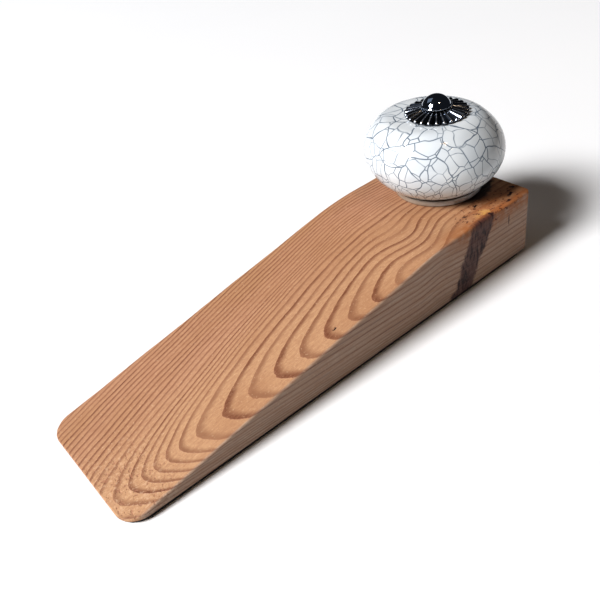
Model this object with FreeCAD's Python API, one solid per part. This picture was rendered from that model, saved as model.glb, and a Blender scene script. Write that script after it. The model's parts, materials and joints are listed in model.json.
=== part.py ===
"""Door stop: a softwood wedge with a crackle-glazed ceramic knob bolted through its heel.

Frame: +Z up, floor at z = 0, origin at the centre of the sole. +X runs from the thin tip to
the thick heel and +Y across the wedge. Lengths are in millimetres.
"""
import FreeCAD, Part
import math
import os

Vec = FreeCAD.Vector
UP = Vec(0, 0, 1)

# Wedge, planed softwood of 44 x 20.5 mm section
block_length = 146.4
block_width = 44.0
block_height = 20.5
tip_height = 0.8
flat_length = 40.4            # level top behind the slope, from the crease to the heel
crease_radius = 90.0          # soft bend between slope and level top
tip_corner_radius = 6.0
heel_corner_radius = 2.2
edge_round = 0.35             # sanded edges all round

# Non-slip sheet glued under the wedge
sheet_thickness = 1.0
sheet_inset = 0.4
sheet_corner_radius = 6.0
sheet_hole_radius = 7.5       # leaves the nut recess open

# Through bolt
bolt_inset = 14.3             # from the heel face
bolt_offset = 2.3             # hand-drilled a little off the centreline
stud_radius = 2.0
stud_chamfer = 0.4
stud_floor_gap = 2.6          # from the floor up to the stud's lower end
stud_bore_radius = 2.05
recess_radius = 7.5
recess_depth = 7.5
washer_radius = 6.0
washer_hole_radius = 2.15
washer_thickness = 1.0
washer_round = 0.2
nut_across_flats = 7.0
nut_thickness = 3.2
nut_chamfer_angle = 30.0

# Ceramic knob: a hand-thrown ellipsoid, a little crooked on its foot, with a flat crown
knob_radius = 21.2
knob_half_height = 14.35
knob_centre_height = 13.1     # above the level top of the wedge
knob_centre_offset = (-0.5, 1.0)    # from the bolt, along X and Y
knob_lean = 4.5               # of the ellipsoid's own axis, in degrees
knob_lean_azimuth = -34.0     # the way its top leans, from +X towards +Y
crown_height = 23.8
crown_round = 8.0
foot_radius = 13.6
foot_height = 4.0             # its upper end is inside the ellipsoid
foot_round = 0.35
underside_height = 1.0        # the ellipsoid ends here, inside the foot
knob_bore_radius = 2.75

# Fluted rosette, pressed from sheet
flute_count = 26
rosette_radius = 9.45
rosette_hub_radius = 3.9
rosette_hub_height = 2.2      # hub's upper face above the crown
rosette_rim_height = 0.75     # mid height of the fluted edge's upper face above the crown
rosette_sheet = 0.3
flute_depth = 0.45            # half the height of a pleat, at the edge
rosette_hole_radius = 2.1

# Domed cap nut
cap_neck_radius = 3.5
cap_neck_height = 0.3
cap_rim_radius = 4.6
cap_rim_thickness = 0.45
cap_dome_radius = 4.25
cap_dome_height = 2.85
cap_thread_depth = 1.7

# Derived positions
heel_x = block_length / 2
crease_x = heel_x - flat_length
sole_z = sheet_thickness
top_z = sole_z + block_height
bolt_x = heel_x - bolt_inset
bolt_y = bolt_offset
recess_top_z = sole_z + recess_depth
washer_z = recess_top_z - washer_thickness
nut_z = washer_z - nut_thickness
crown_z = top_z + crown_height
hub_z = crown_z + rosette_hub_height
stud_top_z = hub_z + cap_thread_depth


def on_bolt(height):
    """Point on the bolt's axis at a height above the floor."""
    return Vec(bolt_x, bolt_y, height)


def rod(radius, low, high):
    """Solid cylinder on the bolt's axis between two heights."""
    return Part.makeCylinder(radius, high - low, on_bolt(low), UP)


def revolve_on_bolt(edges):
    """Solid of revolution about the bolt's axis, from edges in the plane of radius and height."""
    face = Part.Face(Part.Wire(edges))
    face.translate(Vec(bolt_x, bolt_y, 0))
    return face.revolve(on_bolt(0), UP, 360)


def level_edges(shape, height):
    """Edges of a shape that lie level at a given height."""
    return [edge for edge in shape.Edges
            if edge.BoundBox.ZLength < 0.01 and abs(edge.BoundBox.ZMin - height) < 0.01]


def radius_height(radius, height):
    """Point of a revolved profile, before it is moved onto the bolt's axis."""
    return Vec(radius, 0, height)


def line(start, end):
    return Part.makeLine(start, end)


def fillet_2d(before, corner, after, radius):
    """Arc of a given radius that rounds a corner, with the two points where it starts and ends."""
    back = (before - corner).normalize()
    ahead = (after - corner).normalize()
    half_angle = back.getAngle(ahead) / 2
    reach = radius / math.tan(half_angle)
    middle = corner + (back + ahead).normalize() * (radius / math.sin(half_angle) - radius)
    start = corner + back * reach
    end = corner + ahead * reach
    return Part.Arc(start, middle, end).toShape(), start, end


def rounded_plan(x_low, x_high, half_width, tip_radius, heel_radius, low, height):
    """Upright prism on a rectangle whose tip and heel corners are rounded."""
    corners = [(x_low, -half_width, tip_radius), (x_high, -half_width, heel_radius),
               (x_high, half_width, heel_radius), (x_low, half_width, tip_radius)]
    points = [Vec(x, y, low) for x, y, radius in corners]
    edges = []
    joints = []
    for index, (x, y, radius) in enumerate(corners):
        arc, start, end = fillet_2d(points[index - 1], points[index], points[(index + 1) % 4], radius)
        joints.append((start, arc, end))
    for index, (start, arc, end) in enumerate(joints):
        edges.append(arc)
        edges.append(line(end, joints[(index + 1) % 4][0]))
    return Part.Face(Part.Wire(edges)).extrude(Vec(0, 0, height))


def wedge_block():
    """Softwood wedge with the bolt's bore and, from below, the recess for its nut."""
    side = -block_width / 2
    sole_tip = Vec(-heel_x, side, sole_z)
    sole_heel = Vec(heel_x, side, sole_z)
    top_heel = Vec(heel_x, side, top_z)
    crease = Vec(crease_x, side, top_z)
    top_tip = Vec(-heel_x, side, sole_z + tip_height)
    bend, bend_start, bend_end = fillet_2d(top_heel, crease, top_tip, crease_radius)
    outline = [line(sole_tip, sole_heel), line(sole_heel, top_heel), line(top_heel, bend_start),
               bend, line(bend_end, top_tip), line(top_tip, sole_tip)]
    wedge = Part.Face(Part.Wire(outline)).extrude(Vec(0, block_width, 0))
    plan = rounded_plan(-heel_x, heel_x, block_width / 2, tip_corner_radius, heel_corner_radius,
                        0, top_z + 1)
    wedge = wedge.common(plan)
    wedge = wedge.makeFillet(edge_round, [edge for edge in wedge.Edges if is_outline_edge(edge)])
    recess = rod(recess_radius, sole_z - 1, recess_top_z)
    bore = rod(stud_bore_radius, recess_top_z - 1, top_z + 1)
    return wedge.cut(recess.fuse(bore)).removeSplitter()


def is_outline_edge(edge):
    """True for the edges between the wedge's top or sole and its upright faces."""
    low, high = edge.BoundBox.ZMin, edge.BoundBox.ZMax
    across_crease = edge.BoundBox.YLength > block_width - 1 and edge.BoundBox.XLength < 0.01
    inside = abs(edge.BoundBox.XMin) < heel_x - 1
    upright = high - low > 0.1 and edge.BoundBox.XLength < 0.01 and edge.BoundBox.YLength < 0.01
    return not upright and not (across_crease and inside)


def non_slip_sheet():
    """Rubber sheet glued to the sole, with a hole that leaves the nut recess open."""
    sheet = rounded_plan(-heel_x + sheet_inset, heel_x - sheet_inset, block_width / 2 - sheet_inset,
                         sheet_corner_radius, sheet_corner_radius, 0, sheet_thickness)
    return sheet.cut(rod(sheet_hole_radius, -1, sheet_thickness + 1))


def knob_body():
    """Ceramic knob: ellipsoid body, flat crown for the rosette, foot in one piece, plain bore."""
    centre = on_bolt(top_z + knob_centre_height) + Vec(*knob_centre_offset, 0)
    half_outline = Part.Ellipse(centre + Vec(knob_radius, 0, 0),
                                centre + Vec(0, 0, knob_half_height), centre)
    flank = half_outline.toBSpline(-math.pi / 2, math.pi / 2).toShape()
    poles = line(half_outline.value(math.pi / 2), half_outline.value(-math.pi / 2))
    ellipsoid = Part.Face(Part.Wire([flank, poles])).revolve(centre, UP, 360)
    azimuth = math.radians(knob_lean_azimuth)
    ellipsoid.rotate(centre, Vec(-math.sin(azimuth), math.cos(azimuth), 0), knob_lean)
    body = ellipsoid.common(rod(2 * knob_radius, top_z + underside_height, crown_z))
    body = body.makeFillet(crown_round, level_edges(body, crown_z))
    foot = rod(foot_radius, top_z, top_z + foot_height)
    foot = foot.makeFillet(foot_round, level_edges(foot, top_z))
    bore = rod(knob_bore_radius, top_z - 1, crown_z + 1)
    return body.fuse(foot).cut(bore).removeSplitter()


def fluted_rosette():
    """Pressed flower plate: a flat hub and a falling skirt folded into pleats."""
    half_step = math.pi / flute_count

    def point(index, radius, height):
        return Vec(bolt_x + radius * math.cos(index * half_step),
                   bolt_y + radius * math.sin(index * half_step), height)

    faces = []
    upper = [(hub_z, hub_z), (crown_z + rosette_rim_height + flute_depth,
                              crown_z + rosette_rim_height - flute_depth)]
    lower = [(hub_z - rosette_sheet, hub_z - rosette_sheet),
             (upper[1][0] - rosette_sheet, upper[1][1] - rosette_sheet)]
    for index in range(2 * flute_count):
        ends = (index, index + 1)
        hub_top = [point(i, rosette_hub_radius, upper[0][i % 2]) for i in ends]
        rim_top = [point(i, rosette_radius, upper[1][i % 2]) for i in ends]
        hub_low = [point(i, rosette_hub_radius, lower[0][i % 2]) for i in ends]
        rim_low = [point(i, rosette_radius, lower[1][i % 2]) for i in ends]
        centre_top = point(0, 0, hub_z)
        centre_low = point(0, 0, hub_z - rosette_sheet)
        for triangle in ((centre_top, hub_top[0], hub_top[1]), (hub_top[0], rim_top[0], rim_top[1]),
                         (hub_top[0], rim_top[1], hub_top[1]), (centre_low, hub_low[1], hub_low[0]),
                         (hub_low[0], rim_low[1], rim_low[0]), (hub_low[0], hub_low[1], rim_low[1]),
                         (rim_low[0], rim_low[1], rim_top[1]), (rim_low[0], rim_top[1], rim_top[0])):
            faces.append(Part.Face(Part.makePolygon(list(triangle) + [triangle[0]])))
    plate = Part.Solid(Part.Shell(faces)).removeSplitter()
    return plate.cut(rod(rosette_hole_radius, crown_z - 1, hub_z + 1))


def dome_cap():
    """Domed cap nut: neck, thin rim and low dome, with a blind threaded hole."""
    rim_z = hub_z + cap_neck_height
    dome_z = rim_z + cap_rim_thickness
    sphere_radius = (cap_dome_radius ** 2 + cap_dome_height ** 2) / (2 * cap_dome_height)
    sphere_z = dome_z + cap_dome_height - sphere_radius
    half_angle = math.asin(cap_dome_radius / sphere_radius) / 2
    dome = Part.Arc(radius_height(cap_dome_radius, dome_z),
                    radius_height(sphere_radius * math.sin(half_angle),
                                  sphere_z + sphere_radius * math.cos(half_angle)),
                    radius_height(0, dome_z + cap_dome_height)).toShape()
    corners = [radius_height(0, hub_z), radius_height(cap_neck_radius, hub_z),
               radius_height(cap_neck_radius, rim_z), radius_height(cap_rim_radius, rim_z),
               radius_height(cap_rim_radius, dome_z), radius_height(cap_dome_radius, dome_z)]
    edges = [line(corners[i], corners[i + 1]) for i in range(len(corners) - 1)]
    edges += [dome, line(radius_height(0, dome_z + cap_dome_height), corners[0])]
    cap = revolve_on_bolt(edges)
    return cap.cut(rod(stud_radius, hub_z - 1, stud_top_z))


def threaded_stud():
    """M4 threaded rod from the cap nut down to the nut recess, with chamfered ends."""
    stud = rod(stud_radius, stud_floor_gap, stud_top_z)
    return stud.makeChamfer(stud_chamfer, level_edges(stud, stud_floor_gap) + level_edges(stud, stud_top_z))


def flat_washer():
    """Plain washer between the nut and the roof of the recess."""
    washer = rod(washer_radius, washer_z, recess_top_z)
    washer = washer.makeFillet(washer_round, level_edges(washer, washer_z))
    return washer.cut(rod(washer_hole_radius, washer_z - 1, recess_top_z + 1))


def hex_nut():
    """M4 hexagon nut with 30 degree chamfers on both faces."""
    corner_radius = nut_across_flats / 2 / math.cos(math.pi / 6)
    corners = [Vec(bolt_x + corner_radius * math.cos(i * math.pi / 3),
                   bolt_y + corner_radius * math.sin(i * math.pi / 3), nut_z) for i in range(6)]
    prism = Part.Face(Part.makePolygon(corners + [corners[0]])).extrude(Vec(0, 0, nut_thickness))
    face_radius = nut_across_flats / 2 * 0.97
    drop = (corner_radius - face_radius) * math.tan(math.radians(nut_chamfer_angle))
    outer = corner_radius + 0.01
    profile = [radius_height(0, nut_z), radius_height(face_radius, nut_z),
               radius_height(outer, nut_z + drop), radius_height(outer, nut_z + nut_thickness - drop),
               radius_height(face_radius, nut_z + nut_thickness), radius_height(0, nut_z + nut_thickness)]
    edges = [line(profile[i], profile[(i + 1) % len(profile)]) for i in range(len(profile))]
    nut = prism.common(revolve_on_bolt(edges))
    return nut.cut(rod(stud_radius, nut_z - 1, washer_z + 1))


NODES = [wedge_block, non_slip_sheet, knob_body, fluted_rosette, dome_cap, threaded_stud,
         flat_washer, hex_nut]

os.makedirs("parts", exist_ok=True)
for make_node in NODES:
    shape = make_node()
    name = make_node.__name__
    if not shape.isValid() or len(shape.Solids) != 1:
        raise RuntimeError(name + " is not one valid solid")
    shape.Solids[0].exportStep("parts/" + name + ".step")
    box = shape.BoundBox
    print(f"{name:16s} {shape.Volume / 1000:8.2f} cm3  x {box.XMin:.2f} {box.XMax:.2f}  "
          f"y {box.YMin:.2f} {box.YMax:.2f}  z {box.ZMin:.2f} {box.ZMax:.2f}")
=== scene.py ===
"""Looks of the door stop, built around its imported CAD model.

A softwood wedge on a rubber sheet carries a crackle-glazed ceramic knob, which a threaded rod,
a fluted rosette, a domed cap, a washer and a nut hold. Shapes are worked out in millimetres, in
the CAD model's frame: floor at z = 0, +X from the thin tip to the heel, +Y across the wedge.
"""

import functools
import json
import math

import bmesh
import bpy
from mathutils import Matrix, Vector, noise


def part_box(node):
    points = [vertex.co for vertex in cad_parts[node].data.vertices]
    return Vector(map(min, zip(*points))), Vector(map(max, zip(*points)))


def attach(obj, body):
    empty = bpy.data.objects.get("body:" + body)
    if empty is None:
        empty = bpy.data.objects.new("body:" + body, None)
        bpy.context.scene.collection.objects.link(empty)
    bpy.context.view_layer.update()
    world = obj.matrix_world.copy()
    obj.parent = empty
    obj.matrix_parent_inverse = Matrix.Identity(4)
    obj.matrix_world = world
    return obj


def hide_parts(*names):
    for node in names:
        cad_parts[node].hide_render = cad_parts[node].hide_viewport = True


MM = 0.001                    # in metres

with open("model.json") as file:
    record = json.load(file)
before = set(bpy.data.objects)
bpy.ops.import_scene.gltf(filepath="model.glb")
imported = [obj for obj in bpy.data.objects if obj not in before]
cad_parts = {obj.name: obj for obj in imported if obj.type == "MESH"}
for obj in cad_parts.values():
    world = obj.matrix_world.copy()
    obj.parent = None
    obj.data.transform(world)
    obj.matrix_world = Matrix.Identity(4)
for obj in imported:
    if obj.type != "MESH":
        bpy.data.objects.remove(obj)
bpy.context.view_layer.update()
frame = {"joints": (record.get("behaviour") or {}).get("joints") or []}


# ------------------------ sizes, from the frame

def box_mm(node):
    """Lowest and highest corner of a CAD node, in millimetres."""
    low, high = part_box(node)
    return low / MM, high / MM


BOLT = Vector(frame["joints"][0]["pos_m"]) / MM
WOOD_LOW, WOOD_HIGH = box_mm("wedge_block")
SHEET_LOW, SHEET_HIGH = box_mm("non_slip_sheet")
KNOB_LOW, KNOB_HIGH = box_mm("knob_body")
ROSETTE_LOW, ROSETTE_HIGH = box_mm("fluted_rosette")
CAP_LOW, CAP_HIGH = box_mm("dome_cap")
STUD_LOW, STUD_HIGH = box_mm("threaded_stud")
WASHER_LOW, WASHER_HIGH = box_mm("flat_washer")
NUT_LOW, NUT_HIGH = box_mm("hex_nut")

# Wedge and sheet
TIP_HEIGHT = 0.8
FLAT_LENGTH = 40.4
CREASE_RADIUS = 90.0
TIP_CORNER = 6.0
HEEL_CORNER = 2.2
SHEET_CORNER = 6.0
RECESS_RADIUS = 7.5
BORE_RADIUS = 2.05
WOOD_EDGE = 0.75              # sanded edge at full height
SOLE_EDGE = 0.35
SIDE_ROWS = 22                # rows of quads up the upright sides
CORE_INSET = 1.6              # ring of quads that follows the outline, outside the lattice
HOLE_SQUARE = 6.0             # half side of the lattice square that a round hole replaces
HOLE_REACH = 12.0             # half side of the square inside which the lattice bends to the hole

# Growth rings, drawn round the pith of the tree
RINGS_PER_MM = 0.54
PITH_ASIDE = 19.0             # towards -Y from the block's middle, at x = 0
PITH_DRIFT = 0.085            # how much further aside per mm towards the heel
PITH_HEIGHT = 41.5            # above the floor, at x = 0
PITH_FALL = 0.034             # how much lower per mm towards the heel

# Knob, a hand-thrown ellipsoid that leans a little on its foot
FOOT_RADIUS = 13.6
KNOB_RADIUS = 21.2
KNOB_HALF_HEIGHT = 14.35
KNOB_CENTRE = 13.1            # above the wood
KNOB_LEAN = math.radians(4.5)
KNOB_LEAN_AZIMUTH = math.radians(-34)
KNOB_BORE = 2.75
GROOVE = 0.35                 # turned line between foot and belly
FLANK_ROWS = 64

# Metal parts
FLUTES = 26
HUB_RADIUS = 3.9
ROSETTE_SHEET = 0.3
FLUTE_DEPTH = 0.45
THREAD_PITCH = 0.7
THREAD_DEPTH = 0.38
BLIND_DEPTH = 1.7


# ------------------------ mesh helpers

def add_piece(name, verts, faces, material, body, node, sharp_angle=40):
    """Mesh object from points in millimetres; it rides on a body and stands for a CAD node."""
    mesh = bpy.data.meshes.new(name)
    mesh.from_pydata([Vector(v) * MM for v in verts], [], faces)
    shell = bmesh.new()
    shell.from_mesh(mesh)
    bmesh.ops.recalc_face_normals(shell, faces=shell.faces)
    shell.to_mesh(mesh)
    shell.free()
    mesh.polygons.foreach_set("use_smooth", [True] * len(mesh.polygons))
    mesh.set_sharp_from_angle(angle=math.radians(sharp_angle))
    mesh.materials.append(material)
    piece = bpy.data.objects.new(name, mesh)
    bpy.context.scene.collection.objects.link(piece)
    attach(piece, body)
    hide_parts(node)
    return piece


def rounded_profile(corners, step_deg=18):
    """Points of a closed outline in (radius, height), from corners with their fillet radii."""
    points = []
    for i, (r, z, fillet) in enumerate(corners):
        if fillet == 0:
            points.append((r, z))
            continue
        here = Vector((r, z))
        back = (Vector(corners[i - 1][:2]) - here).normalized()
        ahead = (Vector(corners[(i + 1) % len(corners)][:2]) - here).normalized()
        half = back.angle(ahead) / 2
        centre = here + (back + ahead).normalized() * (fillet / math.sin(half))
        start = here + back * (fillet / math.tan(half)) - centre
        turn = math.pi - 2 * half
        if back.x * ahead.y - back.y * ahead.x > 0:
            turn = -turn
        steps = max(2, round(abs(math.degrees(turn)) / step_deg))
        for k in range(steps + 1):
            spoke = Matrix.Rotation(turn * k / steps, 2) @ start
            points.append(tuple(centre + spoke))
    return points


def about_bolt(radius, angle, height):
    """Point at a distance and direction from the bolt's axis."""
    return BOLT.x + radius * math.cos(angle), BOLT.y + radius * math.sin(angle), height


def ring_faces(rings, segments, closed=True):
    """Faces between rings of points in order, and if closed from the last to the first."""
    faces = []
    for i in range(rings if closed else rings - 1):
        here, following = i * segments, (i + 1) % rings * segments
        for k in range(segments):
            beside = (k + 1) % segments
            faces.append((here + k, here + beside, following + beside, following + k))
    return faces


def add_caps(verts, faces, rings, segments, heights):
    """Closes the first and last ring, each by a fan round a point on the bolt's axis."""
    for first, height in zip((0, (rings - 1) * segments), heights):
        verts.append((BOLT.x, BOLT.y, height))
        for k in range(segments):
            faces.append((len(verts) - 1, first + k, first + (k + 1) % segments))


def turned(profile, segments, closed=True):
    """Vertices and faces of a (radius, height) outline turned about the bolt's axis.

    A closed outline makes a ring. An open one starts and ends on the axis."""
    rings = profile if closed else profile[1:-1]
    verts = [about_bolt(radius, 2 * math.pi * k / segments, height)
             for radius, height in rings for k in range(segments)]
    faces = ring_faces(len(rings), segments, closed)
    if not closed:
        add_caps(verts, faces, len(rings), segments, (profile[0][1], profile[-1][1]))
    return verts, faces


def runs(start, *stretches):
    """Values from start on, evenly spaced within each stretch, which is (end, step)."""
    lines = [start]
    for end, step in stretches:
        length = end - lines[-1]
        count = max(1, round(length / step))
        origin = lines[-1]
        lines += [origin + length * (k + 1) / count for k in range(count)]
    return lines


def smoothstep(low, high, value):
    """0 below the lower limit, 1 above the upper one, and a smooth rise between them."""
    t = min(1.0, max(0.0, (value - low) / (high - low)))
    return t * t * (3 - 2 * t)


# ------------------------ block with a bored hole

class Block:
    """Rounded rectangular block: lattices on top and sole, rings round its sides, a round hole."""

    def __init__(self, low, high, tip_corner, heel_corner, inset, step_x, step_y):
        self.low, self.high, self.inset = low, high, inset
        self.radii = (tip_corner - inset, heel_corner - inset)
        corner = min(self.radii)
        x0, x1, y1 = low.x + inset, high.x - inset, high.y - inset
        self.xs = runs(x0, (x0 + corner, corner / 3), (BOLT.x - HOLE_SQUARE, step_x),
                       (BOLT.x + HOLE_SQUARE, step_x), (x1 - corner, step_x), (x1, corner / 3))
        self.ys = runs(-y1, (-y1 + corner, corner / 3), (BOLT.y - HOLE_SQUARE, step_y),
                       (BOLT.y + HOLE_SQUARE, step_y), (y1 - corner, step_y), (y1, corner / 3))
        self.hole_i = self.span(self.xs, BOLT.x)
        self.hole_j = self.span(self.ys, BOLT.y)
        self.verts = []
        self.faces = []

    @staticmethod
    def span(lines, middle):
        """First and last lattice line of the hole's square."""
        inside = [k for k, line in enumerate(lines) if abs(line - middle) < HOLE_SQUARE + 0.001]
        return inside[0], inside[-1]

    def plan(self, i, j):
        """Plan position of a lattice point, with the outward direction if it is on the border."""
        x, y = self.xs[i], self.ys[j]
        x_end = self.low.x + self.inset if x < 0 else self.high.x - self.inset
        radius = self.radii[0] if x < 0 else self.radii[1]
        side_x = -1 if x < 0 else 1
        side_y = -1 if y < 0 else 1
        centre = Vector((x_end - side_x * radius, side_y * (self.high.y - self.inset - radius)))
        a = (x - centre.x) * side_x / radius
        b = (y - centre.y) * side_y / radius
        point = Vector((x, y))
        if a > 0 and b > 0:
            spoke = Vector((side_x * a * math.sqrt(1 - b * b / 2), side_y * b * math.sqrt(1 - a * a / 2)))
            return centre + spoke * radius, spoke.normalized()
        if i in (0, len(self.xs) - 1):
            return point, Vector((side_x, 0))
        return point, Vector((0, side_y))

    def bend_to_hole(self, point, radius):
        """Moves a plan position so that the hole's square becomes a circle."""
        arm = point - BOLT.xy
        reach = max(abs(arm.x), abs(arm.y))
        if reach >= HOLE_REACH:
            return point
        share = max(0.0, (reach - HOLE_SQUARE) / (HOLE_REACH - HOLE_SQUARE))
        circle = arm.normalized() * radius
        square = arm * (HOLE_REACH / reach)
        return BOLT.xy + circle.lerp(square, share)

    def add(self, point):
        self.verts.append(point)
        return len(self.verts) - 1

    def lattice(self, hole_radius, place):
        """One lattice, with its hole left open. place turns a plan position into a point."""
        grid = {}
        for i in range(len(self.xs)):
            for j in range(len(self.ys)):
                if self.hole_i[0] < i < self.hole_i[1] and self.hole_j[0] < j < self.hole_j[1]:
                    continue
                point, _ = self.plan(i, j)
                grid[i, j] = self.add(place(self.bend_to_hole(point, hole_radius)))
        for i in range(len(self.xs) - 1):
            for j in range(len(self.ys) - 1):
                corners = [(i, j), (i + 1, j), (i + 1, j + 1), (i, j + 1)]
                hole = self.hole_i[0] <= i < self.hole_i[1] and self.hole_j[0] <= j < self.hole_j[1]
                if not hole:
                    self.faces.append(tuple(grid[c] for c in corners))
        return grid

    @staticmethod
    def loop(i0, i1, j0, j1):
        """Lattice points round a rectangle of lines, in order."""
        return ([(i, j0) for i in range(i0, i1)] + [(i1, j) for j in range(j0, j1)]
                + [(i, j1) for i in range(i1, i0, -1)] + [(i0, j) for j in range(j1, j0, -1)])

    def bridge(self, one, other):
        for k in range(len(one)):
            following = (k + 1) % len(one)
            self.faces.append((one[k], one[following], other[following], other[k]))

    def side(self, top_grid, sole_grid, rings):
        """Rings of quads down the outline. Each ring places (plan border point, outward)."""
        border = self.loop(0, len(self.xs) - 1, 0, len(self.ys) - 1)
        previous = [top_grid[c] for c in border]
        for place in rings:
            current = [self.add(place(*self.plan(*c))) for c in border]
            self.bridge(previous, current)
            previous = current
        self.bridge(previous, [sole_grid[c] for c in border])

    def tunnel(self, top_grid, sole_grid, profile):
        """Rings of quads up the hole, from the sole to the top, through (radius, height) pairs."""
        rim = self.loop(*self.hole_i, *self.hole_j)
        arms = [(self.plan(*c)[0] - BOLT.xy).normalized() for c in rim]
        previous = [sole_grid[c] for c in rim]
        for radius, height in profile:
            current = [self.add((*(BOLT.xy + arm * radius), height)) for arm in arms]
            self.bridge(previous, current)
            previous = current
        self.bridge(previous, [top_grid[c] for c in rim])


# ------------------------ wood: shape and growth rings

CREASE_X = WOOD_HIGH.x - FLAT_LENGTH
SLOPE = (WOOD_HIGH.z - WOOD_LOW.z - TIP_HEIGHT) / (CREASE_X - WOOD_LOW.x)


def wood_top(x):
    """Height of the wedge's top: slope, soft bend, level."""
    angle = math.atan(SLOPE)
    reach = CREASE_RADIUS * math.tan(angle / 2)
    bend_end = CREASE_X + reach
    if x > bend_end:
        return WOOD_HIGH.z
    if x > CREASE_X - reach * math.cos(angle):
        return WOOD_HIGH.z - CREASE_RADIUS + math.sqrt(CREASE_RADIUS ** 2 - (x - bend_end) ** 2)
    return WOOD_HIGH.z - (CREASE_X - x) * SLOPE


def ring_phase(x, y, z):
    """Number of growth rings between the tree's pith and a point of the wood.

    The pith runs nearly along X, above the block: over its -Y part at the tip, past its -Y side
    at the heel. The rings are egg shaped, bend aside at a knot by the crease, and are narrow
    about 40 mm from the pith."""
    wave = noise.noise(Vector((x / 24, y / 9, z / 9))) * 0.45
    wave += noise.noise(Vector((x / 7, y / 4, z / 4))) * 0.12
    knot = min(2.0 * math.exp(-y / 10), 5.0) * math.exp(-((x - CREASE_X) / 9) ** 2)
    across = y + knot + wave + PITH_ASIDE + PITH_DRIFT * x
    across = math.hypot(across * (0.82 if across < 0 else 1.0), 1.8)
    above = 1.05 * (PITH_HEIGHT - PITH_FALL * x - z)
    radius = (across ** 1.5 + above ** 1.5) ** (2 / 3)
    narrow = 3.2 * smoothstep(38.5, 45, radius) + 0.33 * max(radius - 45, 0)
    return RINGS_PER_MM * radius + narrow


def latewood(phase):
    """How much of the dense dark part of a ring a point is in, from 0 to 1."""
    share = phase % 1
    return smoothstep(0.5, 0.82, share) * (1 - smoothstep(0.9, 1.0, share))


def wood_relief(x, y, z):
    """Depth below the planed surface: soft early wood worn down, sanding waves, one gouge."""
    worn = 0.035 * (1 - latewood(ring_phase(x, y, z)))
    waves = 0.03 * (1 + noise.noise(Vector((x / 11, y / 8, z / 8))))
    gouge = 0.45 * math.exp(-((x - 67.5) / 1.3) ** 2 - ((y + 18.6) / 0.5) ** 2)
    return worn + waves + (gouge if z > 20 else 0)


def sanded_edge(border):
    """Height of the wood's top at a point of its outline, and the size of the worn edge there."""
    top = wood_top(border.x)
    wear = 1 + 0.5 * noise.noise(Vector((border.x / 15, border.y / 15, 3.0)))
    return top, min(WOOD_EDGE * wear, 0.42 * (top - WOOD_LOW.z))


def on_skin(spot, z, outward, lean):
    """Point of the wood's skin, moved in by its relief. lean is 0 on top, 90 degrees on a side."""
    depth = wood_relief(spot.x, spot.y, z)
    spot = spot - outward * depth * math.sin(lean)
    return spot.x, spot.y, z - depth * math.cos(lean)


def top_edge_ring(angle_deg):
    """Ring at an angle of the rounded upper edge."""
    lean = math.radians(angle_deg)

    def place(point, outward):
        border = point + outward * CORE_INSET
        top, edge = sanded_edge(border)
        spot = border - outward * edge * (1 - math.sin(lean))
        return on_skin(spot, top - edge * (1 - math.cos(lean)), outward, lean)
    return place


def side_ring(share):
    """Ring at a share of the upright side's height, counted from its upper end."""
    def place(point, outward):
        border = point + outward * CORE_INSET
        top, edge = sanded_edge(border)
        straight = top - WOOD_LOW.z - edge - SOLE_EDGE
        return on_skin(border, WOOD_LOW.z + SOLE_EDGE + straight * (1 - share), outward, math.pi / 2)
    return place


def sole_edge_ring(angle_deg):
    """Ring at an angle of the small rounded edge round the sole."""
    lean = math.radians(angle_deg)

    def place(point, outward):
        spot = point + outward * CORE_INSET - outward * SOLE_EDGE * (1 - math.sin(lean))
        return spot.x, spot.y, WOOD_LOW.z + SOLE_EDGE * (1 - math.cos(lean))
    return place


def wedge_piece(material):
    """Wooden block with its bore and recess. Each point keeps its growth ring's number."""
    block = Block(WOOD_LOW, WOOD_HIGH, TIP_CORNER, HEEL_CORNER, CORE_INSET,
                  step_x=0.7, step_y=0.45)

    def on_top(point):
        z = wood_top(point.x)
        return point.x, point.y, z - wood_relief(point.x, point.y, z)

    def on_sole(point):
        return point.x, point.y, WOOD_LOW.z

    top_grid = block.lattice(BORE_RADIUS, on_top)
    sole_grid = block.lattice(RECESS_RADIUS, on_sole)
    rings = [top_edge_ring(angle) for angle in range(0, 90, 15)]
    rings += [side_ring(k / SIDE_ROWS) for k in range(SIDE_ROWS + 1)]
    rings += [sole_edge_ring(angle) for angle in (60, 30, 0)]
    block.side(top_grid, sole_grid, rings)
    roof = WASHER_HIGH.z
    wall = [(RECESS_RADIUS, WOOD_LOW.z + (roof - WOOD_LOW.z) * k / 6) for k in range(1, 7)]
    recess_roof = [(RECESS_RADIUS + (BORE_RADIUS - RECESS_RADIUS) * k / 5, roof) for k in range(1, 6)]
    bore = [(BORE_RADIUS, roof + (WOOD_HIGH.z - roof) * k / 8) for k in range(1, 8)]
    block.tunnel(top_grid, sole_grid, wall + recess_roof + bore)
    piece = add_piece("wedge_block_wood", block.verts, block.faces, material, "wedge", "wedge_block")
    phases = [ring_phase(*v) for v in block.verts]
    piece.data.attributes.new("ring_phase", "FLOAT", "POINT").data.foreach_set("value", phases)
    return piece


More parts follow.
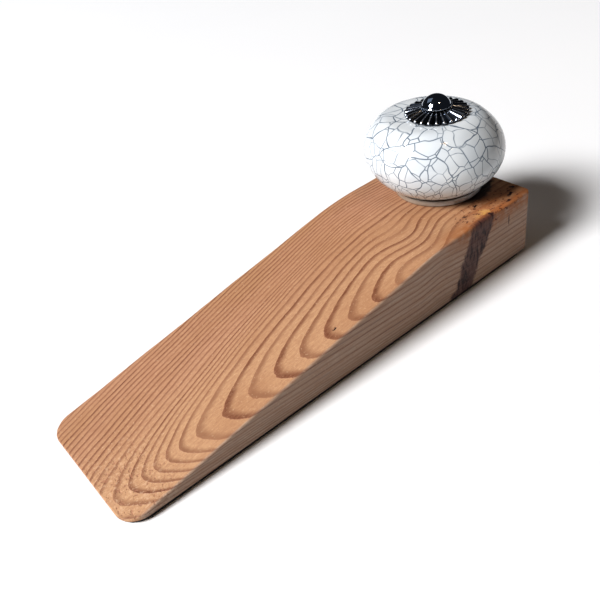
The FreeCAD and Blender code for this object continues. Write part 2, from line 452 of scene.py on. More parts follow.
def sheet_piece(material):
    """Rubber sheet under the wedge, its cut edge very slightly rounded."""
    inset = 1.2
    edge = 0.12
    block = Block(SHEET_LOW, SHEET_HIGH, SHEET_CORNER, SHEET_CORNER, inset,
                  step_x=1.6, step_y=1.4)

    def level(z):
        return lambda point: (point.x, point.y, z)

    def ring(back, z):
        return lambda point, outward: (*(point + outward * (inset - back)), z)

    top, sole = SHEET_HIGH.z, SHEET_LOW.z
    top_grid = block.lattice(RECESS_RADIUS, level(top))
    sole_grid = block.lattice(RECESS_RADIUS, level(sole))
    block.side(top_grid, sole_grid, [ring(edge, top), ring(0, top - edge), ring(0, (top + sole) / 2),
                                     ring(0, sole + edge), ring(edge, sole)])
    block.tunnel(top_grid, sole_grid, [(RECESS_RADIUS, sole + (top - sole) * k / 3) for k in (1, 2)])
    return add_piece("non_slip_sheet_rubber", block.verts, block.faces, material, "wedge",
                     "non_slip_sheet")


# ------------------------ knob and metal parts

def knob_reach(angle, height):
    """Level distance from the bolt's axis to the leaning ellipsoid, in one direction."""
    middle = (KNOB_LOW + KNOB_HIGH) / 2
    centre = Vector((middle.x, middle.y, KNOB_LOW.z + KNOB_CENTRE))
    axis = Vector((math.sin(KNOB_LEAN) * math.cos(KNOB_LEAN_AZIMUTH),
                   math.sin(KNOB_LEAN) * math.sin(KNOB_LEAN_AZIMUTH), math.cos(KNOB_LEAN)))
    squash = 1 / KNOB_HALF_HEIGHT ** 2 - 1 / KNOB_RADIUS ** 2

    def product(u, v):
        return u.dot(v) / KNOB_RADIUS ** 2 + squash * u.dot(axis) * v.dot(axis)

    start = Vector((BOLT.x, BOLT.y, height)) - centre
    way = Vector((math.cos(angle), math.sin(angle), 0))
    a, b, c = product(way, way), product(way, start), product(start, start) - 1
    return (math.sqrt(b * b - a * c) - b) / a


@functools.lru_cache(maxsize=None)
def foot_meets_body(angle):
    """Height at which the foot's upright side runs into the ellipsoid, in one direction."""
    low, high = KNOB_LOW.z + 1, KNOB_LOW.z + 4
    for _ in range(30):
        middle = (low + high) / 2
        if knob_reach(angle, middle) < FOOT_RADIUS:
            low = middle
        else:
            high = middle
    return middle


def ring_of(radius, height, segments=192):
    """Points round the bolt. Height is a number or depends on the angle, and radius on both."""
    points = []
    for k in range(segments):
        angle = 2 * math.pi * k / segments
        z = height(angle) if callable(height) else height
        reach = radius(angle, z) if callable(radius) else radius
        points.append(Vector(about_bolt(reach, angle, z)))
    return points


def rounded_corner(before, corner, after, steps):
    """Rings that round the corner between two neighbouring rings."""
    rings = []
    for i in range(steps + 1):
        t = i / steps
        rings.append([a.lerp(b, t).lerp(b.lerp(c, t), t) for a, b, c in zip(before, corner, after)])
    return rings


def knob_rings():
    """Rings of the knob: up from the bore's foot end, round the outside, back to the bore's top."""
    base, crown = KNOB_LOW.z, KNOB_HIGH.z
    middle = base + KNOB_CENTRE
    flank_top = crown - 1.4
    top_angle = math.asin((flank_top - middle) / KNOB_HALF_HEIGHT)

    def flank_height(angle, share):
        """Height at a share of the way up the flank, measured along its curve."""
        low_angle = math.asin((foot_meets_body(angle) + 0.1 - middle) / KNOB_HALF_HEIGHT)
        return middle + KNOB_HALF_HEIGHT * math.sin(low_angle + (top_angle - low_angle) * share)

    rings = [ring_of(KNOB_BORE, base + 0.3), ring_of(KNOB_BORE + 0.3, base)]
    rings += [ring_of(FOOT_RADIUS * k / 4, base) for k in (2, 3)]
    rings += rounded_corner(ring_of(FOOT_RADIUS - 0.6, base), ring_of(FOOT_RADIUS, base),
                            ring_of(FOOT_RADIUS, base + 0.6), 4)
    for inwards, below in ((0, 0.55), (0.1, 0.45), (GROOVE, 0.35), (GROOVE, 0.15)):
        rings += [ring_of(FOOT_RADIUS - inwards, lambda angle: foot_meets_body(angle) - below)]
    rings += [ring_of(lambda angle, z: knob_reach(angle, z) - 0.15, foot_meets_body)]
    rings += [ring_of(knob_reach, lambda angle: foot_meets_body(angle) + 0.1)]
    for k in range(1, FLANK_ROWS):
        rings += [ring_of(knob_reach, lambda angle: flank_height(angle, k / FLANK_ROWS))]
    crown_flat = ring_of(lambda angle, z: knob_reach(angle, z) - 2.4, crown)
    rings += rounded_corner(ring_of(knob_reach, flank_top), ring_of(knob_reach, crown), crown_flat, 8)
    rings += [ring_of(radius, crown) for radius in (9.0, 6.0, KNOB_BORE + 0.3)]
    return rings + [ring_of(KNOB_BORE, crown - 0.3)]


def knob_piece(material):
    """Ceramic knob, glazed body and foot in one, thrown slightly uneven.

    Each point keeps its height above the line where the foot meets the body."""
    rings = knob_rings()
    segments = len(rings[0])
    verts = []
    for point in (p for ring in rings for p in ring):
        belly = smoothstep(KNOB_LOW.z + 3, KNOB_LOW.z + 6, point.z)
        belly *= 1 - smoothstep(KNOB_HIGH.z - 3, KNOB_HIGH.z - 0.2, point.z)
        dent = 0.06 * belly * (1 + noise.noise(point / 9))
        arm = point.xy - BOLT.xy
        verts.append((*(point.xy - arm.normalized() * dent), point.z))
    piece = add_piece("knob_body_ceramic", verts, ring_faces(len(rings), segments), material, "knob",
                      "knob_body", sharp_angle=60)
    above = [v[2] - foot_meets_body(2 * math.pi * (i % segments) / segments)
             for i, v in enumerate(verts)]
    piece.data.attributes.new("above_foot", "FLOAT", "POINT").data.foreach_set("value", above)
    return piece


def rosette_piece(material):
    """Pressed flower plate: flat hub, then a skirt of rounded flutes with a scalloped edge."""
    hub_top = ROSETTE_HIGH.z
    rim_middle = ROSETTE_LOW.z + ROSETTE_SHEET + FLUTE_DEPTH
    outer = (ROSETTE_HIGH.x - ROSETTE_LOW.x) / 2
    hole = 2.1
    per_flute = 14
    around = FLUTES * per_flute
    radii = runs(hole, (HUB_RADIUS - 0.4, 0.45), (outer - 0.5, 0.32), (outer, 0.12))

    def surface(radius, angle):
        """Point of the upper skin: round flutes that meet in sharp valleys and grow outwards."""
        valley = 1 - abs(math.cos(FLUTES * angle / 2))
        run = max(0.0, (radius - HUB_RADIUS) / (outer - HUB_RADIUS))
        crest = hub_top - (hub_top - rim_middle - FLUTE_DEPTH) * run ** 1.2
        depth = 2 * FLUTE_DEPTH * radius / outer * smoothstep(0.0, 0.1, run)
        curl = 0.25 * max(0.0, (run - 0.92) / 0.08) ** 2 * (1 - valley)
        scallop = 1 - 0.06 * valley * run ** 3
        height = max(crest - depth * valley - curl, ROSETTE_LOW.z + ROSETTE_SHEET)
        return about_bolt(radius * scallop, angle, height)

    verts = []
    skins = [(r, 0.0) for r in radii] + [(r, ROSETTE_SHEET) for r in reversed(radii)]
    for radius, below in skins:
        for k in range(around):
            x, y, z = surface(radius, 2 * math.pi * k / around)
            verts.append((x, y, z - below))
    piece = add_piece("fluted_rosette_plate", verts, ring_faces(len(skins), around), material, "knob",
                      "fluted_rosette", sharp_angle=50)
    ridges = [abs(math.cos(math.pi * (i % around) / per_flute)) for i in range(len(verts))]
    piece.data.attributes.new("ridge", "FLOAT", "POINT").data.foreach_set("value", ridges)
    return piece


def cap_piece(material):
    """Domed cap nut: neck, thin rolled rim, low dome, blind hole for the rod."""
    hub = CAP_LOW.z
    rim = (CAP_HIGH.x - CAP_LOW.x) / 2
    neck = 3.5
    neck_top = hub + 0.3
    rim_top = neck_top + 0.45
    dome_radius = rim - 0.35
    rise = CAP_HIGH.z - rim_top
    sphere = (dome_radius ** 2 + rise ** 2) / (2 * rise)
    stud = (STUD_HIGH.x - STUD_LOW.x) / 2
    half = math.asin(dome_radius / sphere)
    steps = 24
    inside = hub + BLIND_DEPTH
    dome = [(sphere * math.sin(half * (1 - k / steps)),
             CAP_HIGH.z - sphere * (1 - math.cos(half * (1 - k / steps)))) for k in range(1, steps)]
    direction_only = [(0, CAP_HIGH.z + 2, 0), (0, inside, 0)]
    corners = [(stud, inside, 0.05), (stud, hub, 0.1), (neck, hub, 0.08), (neck, neck_top, 0.08),
               (rim, neck_top, 0.18), (rim, rim_top, 0.2), (dome_radius, rim_top, 0.06)]
    outline = rounded_profile(corners + direction_only)[:-len(direction_only)]
    profile = [(0, inside)] + outline + dome + [(0, CAP_HIGH.z)]
    verts, faces = turned(profile, 128, closed=False)
    return add_piece("dome_cap_nut", verts, faces, material, "knob", "dome_cap",
                     sharp_angle=60)


def stud_piece(material):
    """Threaded rod with its helical thread and chamfered ends."""
    low, high = STUD_LOW.z, STUD_HIGH.z
    crest = (STUD_HIGH.x - STUD_LOW.x) / 2
    chamfer = 0.45
    per_pitch = 10
    segments = 36
    count = round((high - low) / THREAD_PITCH * per_pitch)
    verts = []
    for i in range(count + 1):
        z = low + (high - low) * i / count
        end = min(z - low, high - z)
        for k in range(segments):
            turn = k / segments
            share = (z / THREAD_PITCH - turn) % 1
            slant = min(1.0, max(0.0, abs(2 * share - 1) * 1.3 - 0.12))
            radius = min(crest - THREAD_DEPTH * slant, crest - chamfer + end)
            verts.append(about_bolt(radius, 2 * math.pi * turn, z))
    faces = ring_faces(count + 1, segments, closed=False)
    add_caps(verts, faces, count + 1, segments, (low, high))
    return add_piece("threaded_stud_rod", verts, faces, material, "knob", "threaded_stud",
                     sharp_angle=60)


def washer_piece(material):
    """Stamped washer: one edge of each rim drawn round, the other crisp."""
    inner = 2.15
    outer = (WASHER_HIGH.x - WASHER_LOW.x) / 2
    low, high = WASHER_LOW.z, WASHER_HIGH.z
    corners = [(inner, low, 0.22), (outer, low, 0.3), (outer, high, 0.06), (inner, high, 0.06)]
    verts, faces = turned(rounded_profile(corners), 120)
    return add_piece("flat_washer_ring", verts, faces, material, "knob", "flat_washer",
                     sharp_angle=50)


def nut_piece(material):
    """Hexagon nut: its corners cut by a 30 degree cone on both faces, its bore countersunk."""
    low, high = NUT_LOW.z, NUT_HIGH.z
    flat = (NUT_HIGH.y - NUT_LOW.y) / 2
    face_radius = flat * 0.97
    bore = (STUD_HIGH.x - STUD_LOW.x) / 2
    sink_wide, sink_deep = 0.32, 0.35
    segments = 144

    def hexagon(angle, z=None):
        """Distance from the axis to the hexagon's sides, the same at every height."""
        return flat / math.cos((angle % (math.pi / 3)) - math.pi / 6)

    def cut(angle):
        """How far the cone cuts down from a face at the hexagon's side."""
        return (hexagon(angle) - face_radius) * math.tan(math.radians(30))

    levels = [(bore, low + sink_deep), (bore + sink_wide, low), (face_radius, low),
              (hexagon, lambda angle: low + cut(angle)), (hexagon, lambda angle: high - cut(angle)),
              (face_radius, high), (bore + sink_wide, high), (bore, high - sink_deep)]
    verts = [point for radius, z in levels for point in ring_of(radius, z, segments)]
    return add_piece("hex_nut_ring", verts, ring_faces(len(levels), segments), material, "knob",
                     "hex_nut", sharp_angle=25)


# ------------------------ material helpers

class Shader:
    """One material's node tree, with short calls that add nodes and link them."""

    def __init__(self, name):
        self.material = bpy.data.materials.new(name)
        self.material.use_nodes = True
        self.tree = self.material.node_tree
        self.surface = self.tree.nodes["Principled BSDF"]
        place = self.node("ShaderNodeTexCoord").outputs["Object"]
        self.point = self.vector("SCALE", place, scale=1 / MM)
        self.x, self.y, self.z = self.split(self.point)

    def node(self, kind, **settings):
        made = self.tree.nodes.new(kind)
        for key, value in settings.items():
            setattr(made, key, value)
        return made

    def put(self, socket, value):
        if isinstance(value, bpy.types.NodeSocket):
            self.tree.links.new(value, socket)
        elif isinstance(value, tuple) and len(value) == 3 and socket.type == "RGBA":
            socket.default_value = (*value, 1)
        else:
            socket.default_value = value

    def set(self, **inputs):
        """Inputs of the surface shader, by name with _ for a space."""
        for name, value in inputs.items():
            self.put(self.surface.inputs[name.replace("_", " ")], value)

    def math(self, operation, a, b=0.0):
        made = self.node("ShaderNodeMath", operation=operation)
        self.put(made.inputs[0], a)
        self.put(made.inputs[1], b)
        return made.outputs[0]

    def add(self, a, b):
        return self.math("ADD", a, b)

    def times(self, a, b):
        return self.math("MULTIPLY", a, b)

    def vector(self, operation, a, b=(0, 0, 0), scale=1.0):
        made = self.node("ShaderNodeVectorMath", operation=operation)
        self.put(made.inputs[0], a)
        if operation == "SCALE":
            self.put(made.inputs["Scale"], scale)
        else:
            self.put(made.inputs[1], b)
        return made.outputs["Value" if operation == "LENGTH" else "Vector"]

    def split(self, vector):
        made = self.node("ShaderNodeSeparateXYZ")
        self.put(made.inputs[0], vector)
        return made.outputs[0], made.outputs[1], made.outputs[2]

    def stretch(self, x, y, z):
        return self.vector("MULTIPLY", self.point, (x, y, z))

    def attribute(self, name):
        return self.node("ShaderNodeAttribute", attribute_name=name).outputs["Fac"]

    def step(self, value, low, high, to_low=0.0, to_high=1.0):
        """Smooth step of a value between two limits."""
        made = self.node("ShaderNodeMapRange", interpolation_type="SMOOTHSTEP")
        for socket, number in zip(made.inputs, (value, low, high, to_low, to_high)):
            self.put(socket, number)
        return made.outputs[0]

    def noise(self, source, scale, detail=2.0, roughness=0.5, output="Fac"):
        made = self.node("ShaderNodeTexNoise")
        self.put(made.inputs["Vector"], source)
        for name, value in (("Scale", scale), ("Detail", detail), ("Roughness", roughness)):
            self.put(made.inputs[name], value)
        return made.outputs[output]

    def cells(self, source, scale, feature="F1", output="Distance", randomness=1.0, flat=False):
        made = self.node("ShaderNodeTexVoronoi", feature=feature)
        made.voronoi_dimensions = "2D" if flat else "3D"
        self.put(made.inputs["Vector"], source)
        self.put(made.inputs["Scale"], scale)
        self.put(made.inputs["Randomness"], randomness)
        return made.outputs[output]

    def random(self, value):
        made = self.node("ShaderNodeTexWhiteNoise", noise_dimensions="1D")
        self.put(made.inputs["W"], value)
        return made.outputs["Value"]

    def mix(self, share, a, b, blend="MIX"):
        made = self.node("ShaderNodeMix", data_type="RGBA", blend_type=blend)
        self.put(made.inputs[0], share)
        self.put(made.inputs[6], a)
        self.put(made.inputs[7], b)
        return made.outputs[2]

    def bump(self, height, depth_mm, strength):
        made = self.node("ShaderNodeBump")
        self.put(made.inputs["Height"], height)
        self.put(made.inputs["Distance"], depth_mm * MM)
        self.put(made.inputs["Strength"], strength)
        return made.outputs[0]

    def warped(self, scale, reach, detail=2.0):
        """Position in millimetres, pushed about by noise as far as reach."""
        push = self.noise(self.point, scale, detail, 0.5, output="Color")
        push = self.vector("SUBTRACT", push, (0.5, 0.5, 0.5))
        return self.vector("ADD", self.point, self.vector("SCALE", push, scale=2 * reach))

    def from_bolt(self, source):
        """Level distance from the bolt's axis."""
        level = self.vector("MULTIPLY", source, (1, 1, 0))
        return self.vector("LENGTH", self.vector("SUBTRACT", level, (BOLT.x, BOLT.y, 0)))

    def blob(self, centre, radii, source=None):
        """1 at a point, falling smoothly to 0 at an ellipsoid round it."""
        offset = self.vector("SUBTRACT", source or self.point, centre)
        scaled = self.vector("DIVIDE", offset, radii)
        return self.step(self.vector("LENGTH", scaled), 0.0, 1.0, 1.0, 0.0)


# ------------------------ materials

def dense_wood(s):
    """Share of dark late wood, by the place in the growth ring. It varies from ring to ring."""
    drift = s.noise(s.stretch(0.12, 0.5, 0.5), 1.0, 3.0, 0.6)
    phase = s.add(s.attribute("ring_phase"), s.times(s.math("SUBTRACT", drift, 0.5), 0.25))
    share = s.math("FRACT", phase)
    tone = s.random(s.math("FLOOR", phase))
    dense = s.times(s.step(share, 0.5, 0.86), s.step(share, 0.94, 1.0, 1.0, 0.0))
    dense = s.times(dense, s.step(tone, 0.0, 1.0, 0.62, 1.0))
    patchy = s.noise(s.stretch(0.06, 0.25, 0.25), 1.0, 2.0, 0.6)
    dense = s.times(dense, s.step(patchy, 0.3, 0.6, 0.78, 1.0))
    sanded_patch = s.blob((31, -3, 21), (9, 9, 9))
    return s.times(dense, s.step(sanded_patch, 0.0, 1.0, 1.0, 0.4))


def plain_wood(s, dense, fibre, hair, grainy):
    """Early and late wood with their fibres: pinker towards +Y, and a greyer, cooler copy on the upright
    faces that is painted shade.
    """
    broad = s.noise(s.stretch(0.02, 0.05, 0.05), 1.0, 2.0, 0.5)
    pink_side = s.step(s.y, -12.0, 14.0)
    early = s.mix(pink_side, (0.52, 0.32, 0.185), (0.48, 0.27, 0.17))
    early = s.mix(s.step(broad, 0.35, 0.7), early, (0.44, 0.25, 0.135))
    late = s.mix(pink_side, (0.15, 0.048, 0.022), (0.14, 0.048, 0.026))
    side_face = s.step(s.math("ABSOLUTE", s.y), 21.2, 21.8)
    upright = s.math("MAXIMUM", side_face, s.step(s.x, 72.4, 73.0))
    # Upright faces: the wood's colours made greyer and cooler, as painted shade.
    early = s.mix(upright, early, (0.46, 0.345, 0.265))
    late = s.mix(upright, late, (0.22, 0.135, 0.105))
    wood = s.mix(dense, early, late)
    wood = s.mix(s.step(fibre, 0.35, 0.7, 0.0, 0.34), wood, (0.31, 0.145, 0.075))
    wood = s.mix(s.step(hair, 0.35, 0.7, 0.0, 0.44), wood, (0.33, 0.165, 0.095))
    wood = s.mix(s.step(grainy, 0.6, 0.78, 0.0, 0.5), wood, (0.27, 0.12, 0.065))
    wood = s.mix(s.step(grainy, 0.4, 0.24, 0.0, 0.42), wood, (0.70, 0.50, 0.33))
    return s.mix(s.step(s.x, -60.0, 45.0, 0.0, 0.12), wood, (0.25, 0.12, 0.06))


def rubbed_tip(s, wood):
    """Tip corner on the -Y side, worn to pale flecks and small pits: colour, and the pits."""
    tip_corner = s.times(s.step(s.x, -50.0, -66.0), s.step(s.y, 8.0, -6.0))
    pores = s.noise(s.point, 1.1, 1.0, 0.5)
    pits = s.times(tip_corner, s.step(pores, 0.58, 0.68))
    wood = s.mix(s.times(pits, 0.6), wood, (0.32, 0.15, 0.09))
    flecks = s.times(tip_corner, s.step(pores, 0.42, 0.32))
    return s.mix(s.times(flecks, 0.28), wood, (0.70, 0.50, 0.35)), pits


def stained_and_shaded_heel(s, wood, ragged):
    """Resin along the heel's -Y edge, a golden patch, painted shadow of the knob that is partly a stain,
    painted shade round the foot, and charred specks.
    """
    edge = s.times(s.step(s.x, 30.0, 46.0), s.step(s.y, -16.0, -21.0))
    by_edge = s.blob((60, -17, 21.5), (19, 8, 5), ragged)
    resin = s.math("MAXIMUM", s.times(edge, s.step(s.z, 14.0, 20.5)), by_edge)
    mottle = s.noise(s.point, 0.45, 3.0, 0.65)
    resin = s.times(resin, s.step(mottle, 0.3, 0.6, 0.35, 0.9))
    wood = s.mix(resin, wood, (0.33, 0.125, 0.042))
    golden = s.times(s.blob((54, -19.5, 21), (5, 3, 3), ragged), s.step(mottle, 0.52, 0.42))
    wood = s.mix(s.times(golden, 0.8), wood, (0.60, 0.34, 0.09))
    # Darker brown on the heel's top beside the knob: painted shadow of the knob, partly a stain.
    knob_shadow_and_stain = s.blob((64, -6, 21.5), (15, 15, 5), ragged)
    wood = s.mix(s.times(knob_shadow_and_stain, 0.6), wood, (0.10, 0.05, 0.03))
    # Near black on the wood close round the foot, towards the heel and -Y: painted shade under the knob.
    by_foot = s.step(s.from_bolt(ragged), FOOT_RADIUS + 4.0, FOOT_RADIUS)
    painted_foot_shadow = s.times(by_foot, s.blob((66, -10, 21.5), (15, 13, 5)))
    wood = s.mix(s.step(painted_foot_shadow, 0.0, 0.45, 0.0, 0.92), wood, (0.028, 0.016, 0.014))
    speckle = s.noise(s.stretch(0.75, 1.1, 0.75), 1.0, 2.0, 0.6)
    near_edge = s.step(s.blob((58, -17.5, 21), (18, 8, 6), ragged), 0.02, 0.3)
    charred = s.times(near_edge, s.step(speckle, 0.57, 0.66))
    return s.mix(s.times(charred, 0.85), wood, (0.085, 0.02, 0.012))


def banded_side(s, wood):
    """Dark ragged band that climbs the -Y side, leaning towards the heel, with black streaks."""
    middle = s.add(s.times(s.z, 0.5), 40.8)
    ragged = s.noise(s.stretch(0.16, 0.16, 0.16), 1.0, 4.0, 0.65)
    waver = s.times(s.math("SUBTRACT", ragged, 0.5), 7.0)
    away = s.math("ABSOLUTE", s.add(s.math("SUBTRACT", s.x, middle), waver))
    band = s.times(s.step(away, 5.4, 3.2), s.step(s.y, -19.8, -21.6))
    streaks = s.noise(s.stretch(1.0, 0.3, 0.28), 1.0, 3.0, 0.65)
    stain = s.times(band, s.step(streaks, 0.3, 0.5, 0.72, 0.92))
    wood = s.mix(stain, wood, (0.085, 0.036, 0.032))
    black = s.times(band, s.step(streaks, 0.5, 0.62, 0.0, 0.9))
    return s.mix(black, wood, (0.028, 0.012, 0.012))


def dark_marks(s, ragged):
    """Where the long mark by the heel's corner, the small spots and the crack are."""
    spots = ((70.9, -16.4, 0.7), (49.0, -16.7, 0.8), (55.7, -15.0, 0.8), (64.2, -20.5, 0.9),
             (55.0, -21.1, 1.0), (-4.6, -18.0, 0.3), (18.5, -11.8, 0.25))
    marks = s.blob((67.5, -18.6, 21.3), (2.8, 0.85, 1.2), ragged)
    for x, y, radius in spots:
        spot = s.blob((x, y, wood_top(x)), (radius * 1.8, radius * 1.1, 1.5), ragged)
        marks = s.math("MAXIMUM", marks, spot)
    crack = s.blob((62.6, -22, 16.0), (0.35, 1.5, 3.0))
    return s.math("MAXIMUM", marks, s.times(crack, 0.9))


def softwood():
    """Planed and worn softwood, stained and marked at the heel, with painted shade round the knob and on
    the upright faces.
    """
    s = Shader("softwood")
    fibre = s.noise(s.stretch(0.05, 1.5, 1.5), 1.0, 3.0, 0.6)
    hair = s.noise(s.stretch(0.3, 5.0, 5.0), 1.0, 2.0, 0.6)
    grainy = s.noise(s.point, 1.6, 2.0, 0.7)
    ragged = s.warped(0.6, 1.6, 3.0)
    dense = dense_wood(s)
    wood = plain_wood(s, dense, fibre, hair, grainy)
    wood, pits = rubbed_tip(s, wood)
    wood = stained_and_shaded_heel(s, wood, ragged)
    wood = banded_side(s, wood)
    marks = dark_marks(s, ragged)
    wood = s.mix(s.step(marks, 0.1, 0.6), wood, (0.035, 0.012, 0.010))
    height = s.add(s.times(dense, 0.6), s.add(s.times(hair, 0.5), s.times(grainy, 0.5)))
    height = s.math("SUBTRACT", height, s.add(s.times(pits, 1.5), s.times(marks, 3.0)))
    s.set(Base_Color=wood, Roughness=s.step(fibre, 0.3, 0.7, 0.50, 0.66), IOR=1.45,
          Specular_IOR_Level=0.35, Normal=s.bump(height, 0.07, 0.8))
    return s.material


def unrolled(s, source):
    """Flat map of the knob: distance from the top pole along the glaze, in the same direction."""
    middle = (KNOB_LOW + KNOB_HIGH) / 2
    arm = s.vector("SUBTRACT", source, (middle.x, middle.y, KNOB_LOW.z + KNOB_CENTRE))
    x, y, z = s.split(arm)
    level = s.math("SQRT", s.add(s.times(x, x), s.times(y, y)))
    polar = s.math("ARCTAN2", level, s.times(z, KNOB_RADIUS / KNOB_HALF_HEIGHT))
    mean_radius = math.sqrt((KNOB_RADIUS ** 2 + KNOB_HALF_HEIGHT ** 2) / 2)
    growth = s.times(s.math("DIVIDE", polar, s.math("MAXIMUM", level, 0.01)), mean_radius)
    return s.vector("MULTIPLY", s.vector("SCALE", arm, scale=growth), (1, 1, 0))


def crackle(s):
    """Lines of a glaze crazed twice, long cracks and finer ones that end on them, and their halo."""
    long_cells, fine_cells = 0.125, 0.2
    sheet = unrolled(s, s.warped(0.17, 1.7, 1.0))
    plate = s.cells(sheet, long_cells, output="Color", randomness=0.9, flat=True)
    main = s.cells(sheet, long_cells, "DISTANCE_TO_EDGE", randomness=0.9, flat=True)
    shifted = s.vector("ADD", sheet, s.vector("SCALE", plate, scale=90.0))
    fine = s.cells(shifted, fine_cells, "DISTANCE_TO_EDGE", randomness=0.75, flat=True)
    strength = s.noise(s.point, 0.2, 2.0, 0.6)
    main_line = s.times(s.step(main, 0.029, 0.010), s.step(strength, 0.3, 0.6, 0.6, 0.95))
    fine_line = s.times(s.step(fine, 0.040, 0.014), s.step(strength, 0.34, 0.6, 0.35, 0.85))
    halo = s.math("MAXIMUM", s.step(main, 0.07, 0.0), s.step(fine, 0.09, 0.0))
    return s.math("MAXIMUM", main_line, fine_line), halo


def foot_painted_shade_and_light(s):
    """Foot of the knob: brown on the tip's side as painted shade with the wood's warm light, near white
    on the heel's side as painted light, lighter than the body's glaze; a random brown mottle over both.
    """
    towards_heel = s.step(s.add(s.x, s.times(s.y, -0.4)), 47.0, 60.0)
    # Painted shade towards the tip, painted light towards the heel.
    foot = s.mix(towards_heel, (0.33, 0.27, 0.22), (0.86, 0.88, 0.88))
    stain = s.noise(s.stretch(0.25, 0.25, 0.8), 1.0, 3.0, 0.6)
    return s.mix(s.step(stain, 0.35, 0.65, 0.0, 0.42), foot, (0.25, 0.17, 0.11))


def crackle_glaze():
    """White glaze with grey-blue cracks, painted cool light low on the belly, a foot with painted shade
    and painted light, and painted shade in the groove between the two, where the glaze also ends in a
    dark edge.
    """
    s = Shader("crackle_glaze")
    above = s.attribute("above_foot")
    on_body = s.step(above, 0.25, 0.75)
    lines, halo = (s.times(part, on_body) for part in crackle(s))
    cloud = s.noise(s.point, 0.09, 2.0, 0.5)
    glaze = s.mix(s.step(cloud, 0.35, 0.65), (0.64, 0.66, 0.67), (0.57, 0.60, 0.625))
    # Lighter and bluer towards the foot: painted cool light against the warm light the wood throws onto
    # the belly.
    low_belly_painted_light = s.step(above, 11.0, 1.0, 0.0, 0.8)
    glaze = s.mix(low_belly_painted_light, glaze, (0.76, 0.87, 0.92))
    glaze = s.mix(s.times(halo, 0.14), glaze, (0.30, 0.36, 0.42))
    glaze = s.mix(lines, glaze, (0.085, 0.115, 0.155))
    pinholes = s.times(s.step(s.cells(s.point, 0.11), 0.045, 0.02), on_body)
    glaze = s.mix(pinholes, glaze, (0.02, 0.025, 0.03))
    colour = s.mix(on_body, foot_painted_shade_and_light(s), glaze)
    # Darker in the groove between foot and belly: painted shade, and the dark edge where the glaze ends.
    groove = s.times(s.step(above, 0.2, 0.0), s.step(above, -0.55, -0.4))
    colour = s.mix(s.times(groove, 0.9), colour, (0.045, 0.028, 0.02))
    ripple = s.noise(s.point, 0.14, 1.0, 0.5)
    height = s.math("SUBTRACT", s.times(ripple, 3.0), s.times(lines, 0.3))
    s.set(Base_Color=colour, Roughness=s.step(cloud, 0.3, 0.7, 0.06, 0.11), IOR=1.5,
          Specular_IOR_Level=0.5, Normal=s.bump(height, 0.05, 0.6))
    return s.material


def chrome(name, colour, rough_low, rough_high):
    """Plated metal with faint polishing lines and a few dull spots."""
    s = Shader(name)
    cloud = s.noise(s.point, 0.5, 3.0, 0.6)
    fine = s.noise(s.stretch(1.0, 1.0, 4.0), 2.4, 2.0, 0.6)
    tarnish = s.step(s.noise(s.point, 1.4, 2.0, 0.6), 0.58, 0.75, 0.0, 0.5)
    s.set(Base_Color=s.mix(tarnish, colour, tuple(c * 0.55 for c in colour)), Metallic=1.0,
          Roughness=s.step(cloud, 0.3, 0.7, rough_low, rough_high), Normal=s.bump(fine, 0.006, 0.5))
    return s.material


def dark_chrome_painted_crests():
    """Chrome darkened in the flutes' hollows, with bright metal along their ridges as a painted
    highlight.
    """
    s = Shader("rosette_chrome")
    on_skirt = s.step(s.from_bolt(s.point), HUB_RADIUS, HUB_RADIUS + 0.8)
    wear = s.noise(s.point, 0.9, 2.0, 0.6)
    # Bright, smoother metal along the crests of the flutes: painted highlight, its strength varied by the
    # wear noise.
    crest_highlight = s.times(s.step(s.attribute("ridge"), 0.91, 0.99), on_skirt)
    crest_highlight = s.times(crest_highlight, s.step(wear, 0.25, 0.6, 0.55, 1.0))
    patina = s.mix(wear, (0.075, 0.085, 0.105), (0.17, 0.185, 0.215))
    fine = s.noise(s.stretch(1.0, 1.0, 4.0), 2.4, 2.0, 0.6)
    s.set(Base_Color=s.mix(crest_highlight, patina, (0.80, 0.82, 0.86)), Metallic=1.0,
          Roughness=s.step(crest_highlight, 0.0, 1.0, 0.16, 0.42), Normal=s.bump(fine, 0.006, 0.5))
    return s.material


def zinc(name, colour, stretch):
    """Zinc plating: bluish, with faint spangle and tool marks along one direction."""
    s = Shader(name)
    spangle = s.cells(s.point, 1.3, output="Color")
    patch = s.noise(s.point, 0.6, 3.0, 0.6)
    tool = s.noise(s.stretch(*stretch), 3.0, 2.0, 0.6)
    dull = s.mix(s.step(patch, 0.4, 0.7), colour, tuple(c * 0.72 for c in colour))
    made = s.mix(0.08, dull, spangle, "OVERLAY")
    s.set(Base_Color=made, Metallic=1.0, Roughness=s.step(patch, 0.3, 0.7, 0.28, 0.42),
          Normal=s.bump(tool, 0.012, 0.6))
    return s.material


def black_rubber():
    """Matt rubber sheet with a fine embossed grain and a little dust."""
    s = Shader("black_rubber")
    grit = s.noise(s.point, 2.2, 3.0, 0.7)
    dust = s.step(s.noise(s.point, 0.12, 4.0, 0.65), 0.5, 0.75)
    weave = s.cells(s.stretch(1.0, 1.0, 0.2), 0.9, "DISTANCE_TO_EDGE")
    colour = s.mix(s.times(dust, 0.3), (0.014, 0.014, 0.015), (0.055, 0.052, 0.05))
    height = s.add(s.times(grit, 0.4), s.step(weave, 0.0, 0.25))
    s.set(Base_Color=colour, Roughness=s.step(grit, 0.3, 0.7, 0.68, 0.86), Specular_IOR_Level=0.3,
          Normal=s.bump(height, 0.08, 0.7))
    return s.material


def pale_paper():
    """Nearly white studio floor."""
    s = Shader("pale_floor")
    cloud = s.noise(s.point, 0.01, 2.0, 0.5)
    s.set(Base_Color=s.mix(cloud, (0.80, 0.80, 0.80), (0.78, 0.78, 0.785)), Roughness=0.9,
          Specular_IOR_Level=0.1)
    return s.material


# ------------------------ stage, light, camera

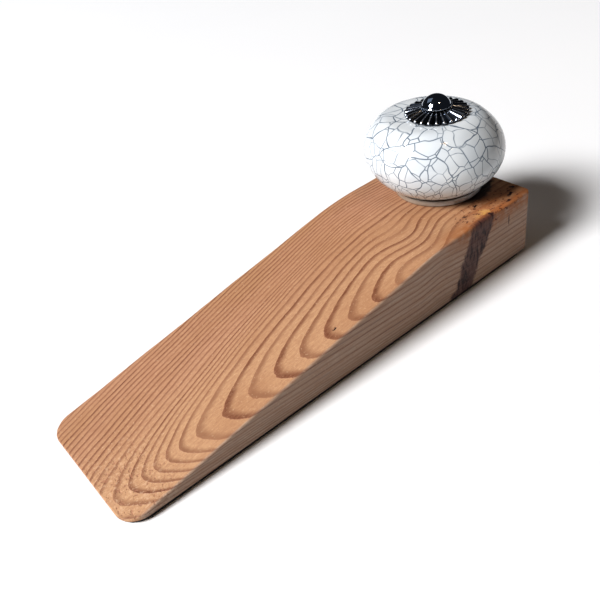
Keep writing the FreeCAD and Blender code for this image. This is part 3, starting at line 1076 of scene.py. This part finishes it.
def add_floor():
    """Round studio floor, 3.2 m across. Its edge is the horizon of the low views."""
    radius = 1.6
    corners = 96
    mesh = bpy.data.meshes.new("floor")
    mesh.from_pydata([(radius * math.cos(2 * math.pi * k / corners),
                       radius * math.sin(2 * math.pi * k / corners), 0) for k in range(corners)], [],
                     [tuple(range(corners))])
    mesh.materials.append(pale_paper())
    floor = bpy.data.objects.new("floor", mesh)
    bpy.context.scene.collection.objects.link(floor)


def add_softbox(name, azimuth, elevation, distance, size, power, colour):
    """Square lamp that looks at the object's middle. Azimuth is from +X towards +Y, in degrees."""
    lamp = bpy.data.lights.new(name, "AREA")
    lamp.shape = "SQUARE"
    lamp.size = size
    lamp.energy = power
    lamp.color = colour
    a, e = math.radians(azimuth), math.radians(elevation)
    towards = Vector((math.cos(a) * math.cos(e), math.sin(a) * math.cos(e), math.sin(e)))
    target = Vector((0.02, 0, 0.02))
    holder = bpy.data.objects.new(name, lamp)
    holder.location = target + towards * distance
    holder.rotation_mode = "QUATERNION"
    holder.rotation_quaternion = towards.to_track_quat("Z", "Y")
    bpy.context.scene.collection.objects.link(holder)


def add_world():
    """Dim bluish room light. Past the floor's edge, the room itself shows as a pale backdrop."""
    world = bpy.data.worlds.new("studio")
    world.use_nodes = True
    tree = world.node_tree
    room = tree.nodes["Background"]
    room.inputs["Color"].default_value = (0.72, 0.80, 1.0, 1)
    room.inputs["Strength"].default_value = 0.03
    backdrop = tree.nodes.new("ShaderNodeBackground")
    backdrop.inputs["Color"].default_value = (0.94, 0.94, 0.945, 1)
    seen = tree.nodes.new("ShaderNodeLightPath").outputs["Is Camera Ray"]
    choice = tree.nodes.new("ShaderNodeMixShader")
    tree.links.new(seen, choice.inputs[0])
    tree.links.new(room.outputs[0], choice.inputs[1])
    tree.links.new(backdrop.outputs[0], choice.inputs[2])
    tree.links.new(choice.outputs[0], tree.nodes["World Output"].inputs["Surface"])
    bpy.context.scene.world = world


def add_camera():
    """Camera over the tip and the -Y side, as in the photograph, and rolled a little."""
    azimuth, elevation, roll = (math.radians(a) for a in (-33.69, 37.30, -10.03))
    distance, aside, raised = 205.51, -2.85, 8.80
    back = Vector((math.sin(azimuth) * math.cos(elevation),
                   -math.cos(azimuth) * math.cos(elevation), math.sin(elevation)))
    level = Vector((math.cos(azimuth), math.sin(azimuth), 0))
    upright = back.cross(level)
    right = level * math.cos(roll) + upright * math.sin(roll)
    up = upright * math.cos(roll) - level * math.sin(roll)
    centre = Vector((0, 0, WOOD_LOW.z))
    camera = bpy.data.objects.new("camera", bpy.data.cameras.new("camera"))
    camera.data.sensor_width = 36
    camera.data.lens = 42.14
    camera.data.clip_start = 0.005
    camera.data.clip_end = 20
    camera.matrix_world = Matrix((right, up, back)).transposed().to_4x4()
    camera.location = (centre + back * distance + right * aside + up * raised) * MM
    bpy.context.scene.collection.objects.link(camera)
    bpy.context.scene.camera = camera


# ------------------------ build

wedge_piece(softwood())
sheet_piece(black_rubber())
knob_piece(crackle_glaze())
rosette_piece(dark_chrome_painted_crests())
cap_piece(chrome("cap_chrome", (0.44, 0.49, 0.56), rough_low=0.05, rough_high=0.10))
stud_piece(zinc("zinc_plated_rod", (0.62, 0.63, 0.65), (1.0, 1.0, 6.0)))
washer_piece(zinc("zinc_plated_washer", (0.66, 0.67, 0.68), (1.0, 3.0, 1.0)))
nut_piece(zinc("zinc_plated_nut", (0.64, 0.65, 0.66), (3.0, 1.0, 1.0)))

add_floor()
add_world()
add_softbox("key", azimuth=168, elevation=41, distance=4.5, size=1.48, power=393,
            colour=(0.985, 0.99, 1.0))
add_softbox("back_panel", azimuth=100, elevation=50, distance=1.4, size=0.7, power=0.7,
            colour=(0.75, 0.85, 1.0))
add_softbox("warm_lamp", azimuth=272, elevation=64, distance=1.2, size=0.10, power=1.2,
            colour=(1.0, 0.72, 0.45))
add_camera()
bpy.context.scene.view_settings.view_transform = "Standard"
bpy.context.scene.view_settings.gamma = 0.85
